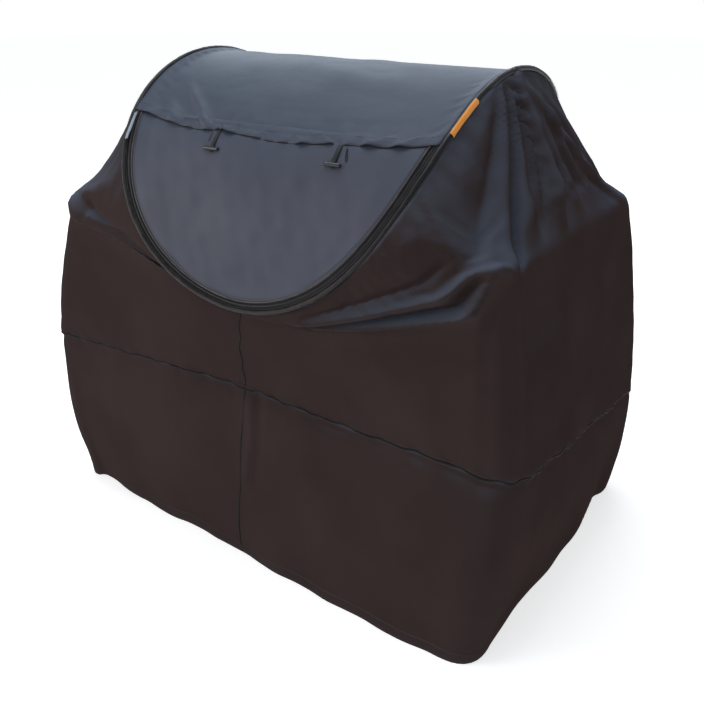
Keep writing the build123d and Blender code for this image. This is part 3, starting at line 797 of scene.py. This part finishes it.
def stitches(name, line, normals, body, length=0.0035, gap=0.0025, thick=0.0006, slot="seam_tape"):
    """A row of short raised threads along a line that lies on a surface."""
    travel = travelled(line)
    count = int(travel[-1] // (length + gap))
    starts = np.arange(count) * (length + gap)

    def at(values, where):
        return np.stack([np.interp(where, travel, values[:, k]) for k in range(3)], -1)

    a, b = at(line, starts), at(line, starts + length)
    up = unit(at(normals, starts + length / 2))
    side = unit(np.cross(b - a, up)) * thick
    lift = up * thick
    middle = (a + b) / 2 + lift * 1.6
    corners = [a - side * 0.5, a + side * 0.5, middle + side, b + side * 0.5, b - side * 0.5, middle - side]
    points = np.stack(corners + [(a + b) / 2 - lift], 1).reshape(-1, 3)
    pattern = [(0, 1, 2, 5), (5, 2, 3, 4), (1, 0, 6), (2, 1, 6), (3, 2, 6), (4, 3, 6), (5, 4, 6), (0, 5, 6)]
    piece = mesh_object(name, points, repeated(pattern, count, len(corners) + 1))
    return finish_piece(piece, slot, body, material=THREAD)


def ring_closed(line):
    return np.concatenate([line, line[:1]])


def waist_seam():
    """The seam between the two tiers: a folded tape, puckered, with a row of stitches above it."""
    normals = grid_normals(upper, True)
    out = normals[-3]
    lift = out * (0.0009 + 0.0006 * smooth_noise(upper[-1], 0.04, 12)[:, None])
    waver = 0.0022 * smooth_noise(upper[-1], 0.045, 13)[:, None] * [0, 0, 1]
    high = upper[-1] + unit(upper[-2] - upper[-1]) * 0.0018 + waver
    low = lower[0] + unit(lower[1] - lower[0]) * 0.0020 + waver
    rows = [high + lift * 0.4, (high * 2 + low) / 3 + lift, (high + low * 2) / 3 + lift, low + lift * 0.4]
    piece = sheet_piece("waist_seam", np.stack(rows), closed=True, thick=0.0010)
    finish_piece(piece, "seam_tape", "root", ["waist_seam_" + side for side in SIDES])
    row = upper[-1] + unit(upper[-3] - upper[-1]) * 0.0075 + out * 0.0006
    stitches("waist_stitches", ring_closed(row), ring_closed(out), "root")


def hem():
    """The turned-up hem, with a row of stitches along its upper edge."""
    out = grid_normals(lower, True)
    travel = np.linalg.norm(lower[-1] - lower[-2], axis=-1).mean()
    turned = int(round(HEM_TURNED / travel))
    lift = 0.0008 * fade(np.arange(turned + 1), 0, 2)[:, None, None]
    rows = lower[-1 - turned:] + out[-1 - turned:] * lift
    rows[..., 2] = np.maximum(rows[..., 2], HEM_Z)
    piece = sheet_piece("hem_band", rows, closed=True, thick=0.0006)
    finish_piece(piece, "skirt_fabric", "root", ["hem_" + side for side in SIDES])
    row = rows[0] + (rows[1] - rows[0]) * 0.3
    stitches("hem_stitches", ring_closed(row), ring_closed(out[-turned]), "root")


def column_line(grid, station):
    """The line down a closed grid at a station between its columns."""
    at = np.interp(station, stations, np.arange(len(stations)))
    j, share = int(at), at - int(at)
    return grid[:, j] * (1 - share) + grid[:, j + 1] * share


def centre_seam(name, grid, first, last):
    """One tier's part of the upright seam in the middle of the front. first and last are shares of the way
    down the tier."""
    line = column_line(grid, FRONT_MIDDLE)
    out = column_line(grid_normals(grid, True), FRONT_MIDDLE)
    start, end = int(first * len(line)), int(math.ceil(last * len(line)))
    line, out = line[start:end], out[start:end]
    travel = np.arange(len(line))[:, None] * 0.007
    sway = 0.0018 * np.sin(travel * 47) + 0.0016 * np.sin(travel * 19)
    line = line + np.array([1.0, 0, 0]) * sway
    half = np.array([0.0021, 0, 0])
    rows = [line + half * share + out * lift
            for share, lift in ((1, 0.0002), (0.4, 0.0011), (-0.4, 0.0011), (-1, 0.0002))]
    piece = sheet_piece(name + "_tape", np.stack(rows), thick=0.0008)
    finish_piece(piece, "seam_tape", "root", [name])
    stitches(name + "_stitches", line + [0.0052, 0, 0] + out * 0.0006, out, "root")


waist_seam()
hem()
centre_seam("centre_seam_upper", upper, 0.16, 0.985)
centre_seam("centre_seam_lower", lower, 0.015, 0.955)


# ---- the hoop ----

def hoop_curve(taus, inset=0.0, lift=0.0):
    return on_roof(hoop_inside(taus, inset), lift)


def even_taus(spacing, low=0.0, high=360.0):
    fine = np.linspace(low, high, 7201)
    travel = travelled(on_roof(hoop_outline(fine)))
    count = int(round(travel[-1] / spacing))
    return np.interp(np.linspace(0, travel[-1], count + 1), travel, fine)


def hoop_sleeve():
    """The sleeve round the sprung wire. Its section has two lobes that wind round it."""
    taus = even_taus(0.004)[:-1]
    line = on_roof(hoop_outline(taus))
    sides, turns = 20, 46
    up = roof_normals(line)
    piece = tube("hoop_sleeve", line, np.full(len(line), SLEEVE_RADIUS), sides, closed=True, up=up)
    points = np.array([v.co for v in piece.data.vertices]).reshape(len(line), sides, 3)
    angle = circle(sides)[None, :]
    twist = np.linspace(0, 2 * math.pi * turns, len(line), endpoint=False)[:, None]
    swell = 0.10 * np.abs(np.sin(angle + twist / 2)) ** 0.6 - 0.05
    wrinkle = 0.035 * smooth_noise(points, 0.02, 15)
    points = line[:, None] + (points - line[:, None]) * (SLEEVE_SLACK + swell + wrinkle)[..., None]
    piece.data.vertices.foreach_set("co", points.ravel())
    finish_piece(piece, "sleeve_fabric", "root", ["hoop_sleeve_front", "hoop_sleeve_back"])
    for name, inset in (("inner", 0.0062), ("outer", -0.0062)):
        edge = hoop_curve(taus, inset, 0.0012)
        stitches("sleeve_stitches_" + name, ring_closed(edge), ring_closed(up), "root", gap=0.003)
    rolled = hoop_curve(taus, -0.0040, -0.0030)
    radius = 0.0014 * (1 + 0.15 * smooth_noise(rolled, 0.03, 16))
    finish_piece(tube("sleeve_roll", rolled, radius, 8, closed=True, up=up), "sleeve_fabric", "root",
                 material=PIPING)


hoop_sleeve()


# ---- canopy, door and back panel ----

def toggle_arc(side):
    """How far down the roof the toggle's pivot is."""
    pivot = JOINTS["toggle_%s_swing" % side]
    return ROOF_RADIUS * math.atan2(-pivot[1], pivot[2] - ROOF_AXIS)


def canopy_edge(u):
    """How far down the roof the canopy's front edge comes, across its width. Each toggle's tab draws it up to
    the tab's own pivot, so that the toggle swings clear."""
    x = np.asarray(u) * half_width(HINGE_ARC + EDGE_DROP, CANOPY_INSET)
    wave = 0.003 * np.sin(9 * u + 0.6)
    edge = HINGE_ARC + 0.004 + EDGE_DROP * np.clip(1 - np.abs(u) ** 2.4, 0, 1) + wave
    for side, middle in TOGGLE_X.items():
        near = np.exp(-np.abs((x - middle) / TAB_REACH) ** 3)
        edge = edge - near * np.maximum(edge - toggle_arc(side) - 0.0005, 0)
    return edge


def roof_grid(arcs, u, inset):
    """A grid on the roof. u is each column's place across the hoop, from -1 at the left to 1 at the right.
    arcs is how far down the roof each row or point is."""
    arcs = arcs + 0 * u
    return on_roof(np.stack([u * half_width(arcs, inset), arcs], -1))


# Slack folds that run from the upper left down towards the left toggle, each with its distance from the first
# one, a height and a width.
SLACK_FOLDS = [
    (0.0, 0.0095, 0.012),
    (0.035, -0.005, 0.010),
    (0.09, 0.006, 0.015),
    (0.13, -0.004, 0.012),
]


def canopy_lift(grid, arcs, share, u):
    """How far the roof cloth stands off the roof's cylinder: slack, and wrinkles along its front edge."""
    x, from_edge = grid[..., 0], (1 - share) * (canopy_edge(u) + HINGE_ARC)
    inside = between(u, -0.94, 0.94, 0.05)
    lift = 0.0030 * fade(arcs, HINGE_ARC - 0.05, HINGE_ARC + 0.004)
    lift = lift + 0.0016 * smooth_noise(grid, 0.16, 21) * inside * between(share, 0.06, 0.97, 0.05)
    ripple = smooth_noise(grid * [1, 0.35, 0.35], 0.036, 22)
    lift = lift + 0.0042 * ripple * inside * np.exp(-from_edge / 0.030)
    for middle in TOGGLE_X.values():
        bearing = np.arctan2(x - middle, from_edge + 0.02)
        distance = np.hypot(x - middle, from_edge + 0.01)
        lift = lift + 0.0035 * np.sin(9 * bearing + middle * 20) * np.exp(-distance / 0.05) * inside
    for offset, height, width in SLACK_FOLDS:
        slant = (x - TOGGLE_X["left"] + 0.04 + offset) * 0.62 + (from_edge - 0.02) * 0.78
        along = (x - TOGGLE_X["left"]) * 0.78 - from_edge * 0.62
        lift = lift + height * ridge(slant, width) * between(along, -0.17, -0.02, 0.05) * inside
    return np.maximum(lift, 0.0016 * fade(arcs, HINGE_ARC - 0.03, HINGE_ARC))


def canopy():
    """The roof cloth. Its front edge hangs a little over the door and wrinkles between the toggles."""
    rows, columns = 90, 110
    share = np.linspace(0, 1, rows)[:, None]
    u = np.linspace(-1, 1, columns)[None, :]
    arcs = -HINGE_ARC + (canopy_edge(u) + HINGE_ARC) * share
    grid = roof_grid(arcs, u, CANOPY_INSET)
    out = roof_normals(grid)
    grid = grid + out * canopy_lift(grid, arcs, share, u)[..., None]
    pin = np.repeat(hold(rows, 0.16, 2)[:, None], columns, 1)
    pin[:, :2] = 1.0
    pin[:, -2:] = 1.0
    grid = settle(grid, pin, False, shrink=0.006, frames=12, cap=0.006)
    piece = sheet_piece("canopy", grid, thick=0.0008)
    finish_piece(piece, "canopy_fabric", None, ["roof_panel"])
    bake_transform(piece)
    edge = grid[-1, 2:-2] + out[-1, 2:-2] * 0.0006
    cord = tube("canopy_edge_roll", edge, np.full(len(edge), 0.0009), 8, up=out[-1, 2:-2])
    finish_piece(cord, "seam_tape", "door", ["door_binding"])
    stitches("canopy_stitches", grid[-4] + out[-4] * 0.0005, out[-4], "door", slot="canopy_fabric")
    return piece


def hanging_panel(name, side, first_arc, inset, seed, body, replaced):
    """The D-shaped cloth below the canopy. side is 1 at the front and -1 at the back."""
    rows, columns = 64, 96
    last_arc = hoop_inside(90.0, inset)[1]
    share = np.sin(np.linspace(0, 0.985, rows) * math.pi / 2)[:, None]
    u = np.linspace(-1, 1, columns)[None, :]
    grid = roof_grid(first_arc + (last_arc - first_arc) * share, u, inset)
    inside = between(u, -0.93, 0.93, 0.07) * between(share, 0.02, 0.93, 0.06)
    slack = 0.0022 * smooth_noise(grid * [0.8, 1, 1], 0.24, seed)
    slack = slack + 0.0007 * smooth_noise(grid, 0.06, seed + 1)
    grid = grid + roof_normals(grid) * (slack * inside)[..., None]
    if side < 0:
        grid = grid[:, ::-1] * [1, -1, 1]
    piece = sheet_piece(name, grid, thick=0.0008)
    return finish_piece(piece, "canopy_fabric", body, replaced)


canopy_piece = canopy()
door_piece = hanging_panel("door_cloth", 1, HINGE_ARC + 0.0015, DOOR_INSET, 31, "door", ["door_panel"])
back_piece = hanging_panel("back_cloth", -1, HINGE_ARC + 0.001, CANOPY_INSET, 41, "root", ["back_panel"])


# ---- zip ----

def zip_taus(spacing):
    """Even steps round the zip, from just below the hinge on the right to the same height on the left."""
    taus = np.linspace(0, 90, 901)
    start = float(np.interp(HINGE_ARC + 0.006, hoop_outline(taus)[:, 1], taus))
    return even_taus(spacing, start, 180 - start)


def teeth(side):
    """One row of the nylon coil: a small slanted loop of thread for each tooth."""
    pitch, half_length, half_height = 0.0022, 0.0009, 0.0010
    line = hoop_curve(zip_taus(pitch), TEETH_INSETS[side])
    out = roof_normals(line)
    along = unit(np.gradient(line, axis=0))
    across = np.cross(along, out) * (1 if side == "door" else -1)
    pattern = [(0, 1, 2, 3), (4, 7, 6, 5), (0, 4, 5, 1), (1, 5, 6, 2), (2, 6, 7, 3), (3, 7, 4, 0)]
    corners = []
    for height, taper in ((-half_height, 1.0), (half_height, 0.7)):
        for a, b in ((-0.9, -0.35), (0.8, -0.22), (0.8, 0.22), (-0.9, 0.35)):
            lean = b * pitch + 0.25 * height
            corners.append(line + across * a * half_length * taper + along * lean + out * height)
    faces = repeated(pattern, len(line), len(corners))
    piece = mesh_object("zip_coil_" + side, np.stack(corners, 1), faces)
    body = "door" if side == "door" else "root"
    return finish_piece(piece, "zip_teeth", body, ["zip_teeth_" + side])


def edge_piping():
    """Rolled edges: one along the door's curved edge and one beside the sleeve."""
    taus = zip_taus(0.006)
    for name, inset, radius, body in (("door_piping", DOOR_INSET - 0.0004, 0.0016, "door"),
                                      ("frame_piping", 0.0066, 0.0010, "root")):
        line = hoop_curve(taus, inset, 0.0013)
        piece = tube(name, line, radius * (1 + 0.1 * smooth_noise(line, 0.03, 51)), 8, up=roof_normals(line))
        finish_piece(piece, "sleeve_fabric", body, material=PIPING if body == "door" else None)
    line = hoop_curve(taus, DOOR_INSET + 0.006, 0.0006)
    stitches("door_stitches", line, roof_normals(line), "door", slot="canopy_fabric")


for side in TEETH_INSETS:
    teeth(side)
edge_piping()


# ---- toggles, elastic, pull ribbon and tag ----

def strap(name, line, out, width, thick, slot, body, replaced=(), material=None, across=None):
    """A flat strap of cloth along a line, with slightly rounded edges."""
    across = unit(np.cross(np.gradient(line, axis=0), out)) if across is None else across
    upper_half = [(-0.5, 0.2), (-0.46, 0.5), (0.46, 0.5), (0.5, 0.2)]
    outline = upper_half + [(-a, -b) for a, b in upper_half]
    points = np.stack([line + across * a * width + out * b * thick for a, b in outline], 1)
    rows, sides = points.shape[:2]
    faces = grid_faces(rows, sides, True)
    faces.append(tuple(reversed(range(sides))))
    faces.append(tuple((rows - 1) * sides + j for j in range(sides)))
    return finish_piece(mesh_object(name, points, faces), slot, body, replaced, material)


def toggle(side):
    """The webbing tab that hangs from the canopy's edge and holds the bar, with two rows of stitches."""
    tab_low, tab_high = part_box("toggle_tab_" + side)
    x = TOGGLE_X[side]
    top = np.array([x, tab_high.y, tab_high.z])
    low = np.array([x, tab_low.y, tab_low.z])
    along = unit(low - top)
    out = unit(np.array([0, along[2], -along[1]]))
    out = out if out[2] > 0 else -out
    reach = np.linalg.norm(low - top)
    share = np.linspace(0, 1, 18)[:, None]
    line = top + along * reach * share + out * (0.0012 * np.sin(share * math.pi) - 0.0004)
    outs = np.repeat(out[None, :], len(line), 0)
    across = np.repeat(np.array([[1.0, 0, 0]]), len(line), 0)
    strap("toggle_webbing_" + side, line, outs, 0.010, 0.0012, "webbing", "toggle_" + side,
          ["toggle_tab_" + side], across=across)
    for edge in (-0.0036, 0.0036):
        row = line[2:-5] + across[2:-5] * edge + outs[2:-5] * 0.0006
        name = "toggle_stitches_%s_%s" % (side, "a" if edge < 0 else "b")
        stitches(name, row, outs[2:-5], "toggle_" + side, 0.0022, 0.0014, 0.0004, slot="webbing")


def elastic(side):
    """A thin loop of round elastic under the canopy's edge."""
    low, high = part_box("elastic_loop_" + side)
    middle = (low.x + high.x) / 2
    length = 0.020 if side == "left" else 0.026
    lean = 0.0 if side == "left" else 0.35
    top_arc = HINGE_ARC + 0.034
    angle = circle(40)
    down = (1 - np.cos(angle)) / 2
    half = 0.0026 * np.sin(angle) * (0.35 + 0.65 * down)
    flat = np.stack([middle + half + lean * length * down, top_arc + length * down], -1)
    line = on_roof(flat, 0.0026)
    piece = tube("elastic_" + side, line, np.full(len(line), 0.0009), 8, closed=True, up=roof_normals(line))
    finish_piece(piece, "webbing", "door", ["elastic_loop_" + side])


def pull_ribbon():
    """A woven ribbon sewn round the slider's puller."""
    puller = frame["nodes"]["zip_pull"].data.vertices
    points = np.array([v.co for v in puller])
    centre = points.mean(0)
    axes = np.linalg.svd(points - centre, full_matrices=False)[2]
    along = axes[0] * (1 if axes[0][2] < 0 else -1)
    travel = (points - centre) @ along
    up = roof_normals(centre)
    out = unit(up - along * (up @ along))
    height = ((points - centre) @ out).max() - 0.0004
    aside = np.cross(along, out)
    aside = aside * np.sign(aside[0])
    shift = centre + aside * (((points - centre) @ aside).mean() + 0.0010)
    share = np.linspace(0, 1, 26)[:, None]
    start, end = travel.min() + 0.004, travel.max() + 0.012
    line = shift + along * (start + (end - start) * share) + out * height
    line = line + out * 0.0006 * np.sin(share * 9) * share + aside * 0.004 * share
    outs = np.repeat(out[None, :], len(line), 0)
    strap("pull_ribbon", line, outs, 0.0062, 0.0016, "pull_ribbon", "zip_pull")
    stitches("pull_stitches", line[3:7] + outs[3:7] * 0.0009, outs[3:7], "zip_pull", 0.002, 0.001, 0.0004,
             slot="pull_ribbon")


def side_tag():
    """A plain woven tag folded round the outer side of the sleeve."""
    taus = np.linspace(15.8, 24.2, 26)
    line = on_roof(hoop_outline(taus))
    along = unit(np.gradient(line, axis=0))
    out = roof_normals(line)
    aside = np.cross(out, along)
    aside = aside * np.sign(aside[:, :1])
    rows = []
    for degrees, radius in ((-22, 1.25), (2, 1.30), (26, 1.32), (50, 1.30), (74, 1.24)):
        turn = math.radians(degrees)
        wave = 1 + 0.02 * np.sin(np.linspace(0, 7, len(line)))[:, None]
        direction = out * math.sin(turn) + aside * math.cos(turn)
        rows.append(line + direction * SLEEVE_RADIUS * radius * wave)
    piece = sheet_piece("side_tag_cloth", np.stack(rows), thick=0.0009)
    finish_piece(piece, "tag_fabric", "root", ["side_tag"])


for side in TOGGLE_X:
    toggle(side)
    elastic(side)
pull_ribbon()
side_tag()


# ---- floor, light and camera ----

def stage_floor():
    angle = circle(96)
    points = np.stack([14 * np.cos(angle), 14 * np.sin(angle), 0 * angle], -1)
    floor = mesh_object("studio_floor", points, [tuple(range(len(angle)))])
    material, tree, shader = new_material("floor_paint", 0.9)
    place = texture_place(tree)
    tone = mix_colours(tree, noise(tree, place, 2.0, 2.0), (0.84, 0.84, 0.84), (0.86, 0.86, 0.86))
    feed(tree, shader, {"Base Color": tone, "Emission Color": (1, 1, 1), "Emission Strength": 0.62})
    floor.data.materials.append(material)


def area_light(name, place, target, size, energy, colour):
    data = bpy.data.lights.new(name, "AREA")
    data.shape, data.size, data.size_y = "RECTANGLE", size[0], size[1]
    data.energy, data.color = energy, colour
    light = bpy.data.objects.new(name, data)
    bpy.context.scene.collection.objects.link(light)
    light.location = place
    light.rotation_euler = (Vector(target) - Vector(place)).to_track_quat("-Z", "Y").to_euler()


def studio():
    scene = bpy.context.scene
    scene.view_settings.view_transform = "Standard"
    world = bpy.data.worlds.new("studio")
    world.use_nodes = True
    tree = world.node_tree
    seen, lit = tree.nodes["Background"], tree.nodes.new("ShaderNodeBackground")
    feed(tree, seen, {"Color": (1, 1, 1)})
    direction = texture_place(tree, "Generated")
    aside = add_node(tree, "ShaderNodeSeparateXYZ", {0: direction}).outputs["X"]
    sockets = {"Value": aside, "From Min": -0.1, "From Max": 0.9, "To Min": 0.54, "To Max": 0.26}
    strength = add_node(tree, "ShaderNodeMapRange", sockets).outputs["Result"]
    feed(tree, lit, {"Color": (0.90, 0.95, 1.0), "Strength": strength})
    which = add_node(tree, "ShaderNodeLightPath").outputs["Is Camera Ray"]
    blend = add_node(tree, "ShaderNodeMixShader", {0: which, 1: lit.outputs[0], 2: seen.outputs[0]})
    tree.links.new(blend.outputs[0], tree.nodes["World Output"].inputs["Surface"])
    scene.world = world
    middle = (0, 0, 0.55)
    area_light("overhead", (-0.4, 0.1, 3.0), middle, (1.8, 1.8), 40, (0.88, 0.94, 1.0))
    area_light("behind", (-1.4, 2.6, 2.2), (0, 0, 0.8), (3.2, 1.6), 36, (0.80, 0.89, 1.0))
    area_light("front_left", (-2.4, -2.4, 1.6), middle, (1.5, 1.5), 34, (1.0, 0.94, 0.89))
    area_light("right_fill", (2.8, 0.6, 0.9), (0, 0, 0.4), (1.6, 1.2), 3.0, (1.0, 0.90, 0.84))


def add_camera(place, yaw, pitch, lens):
    """A camera that looks at the tent's front from the right and above. yaw and pitch are in radians."""
    scene = bpy.context.scene
    camera = bpy.data.objects.new("camera", bpy.data.cameras.new("camera"))
    scene.collection.objects.link(camera)
    back = Vector((math.sin(yaw) * math.cos(pitch), -math.cos(yaw) * math.cos(pitch), math.sin(pitch)))
    right = Vector((math.cos(yaw), math.sin(yaw), 0))
    turn = Matrix((right, back.cross(right), back)).transposed()
    camera.matrix_world = Matrix.Translation(place) @ turn.to_4x4()
    camera.data.sensor_width = 36
    camera.data.lens = lens
    scene.camera = camera


stage_floor()
studio()
add_camera((1.0673, -1.6873, 1.2232), yaw=0.5614, pitch=0.4111, lens=47.0)
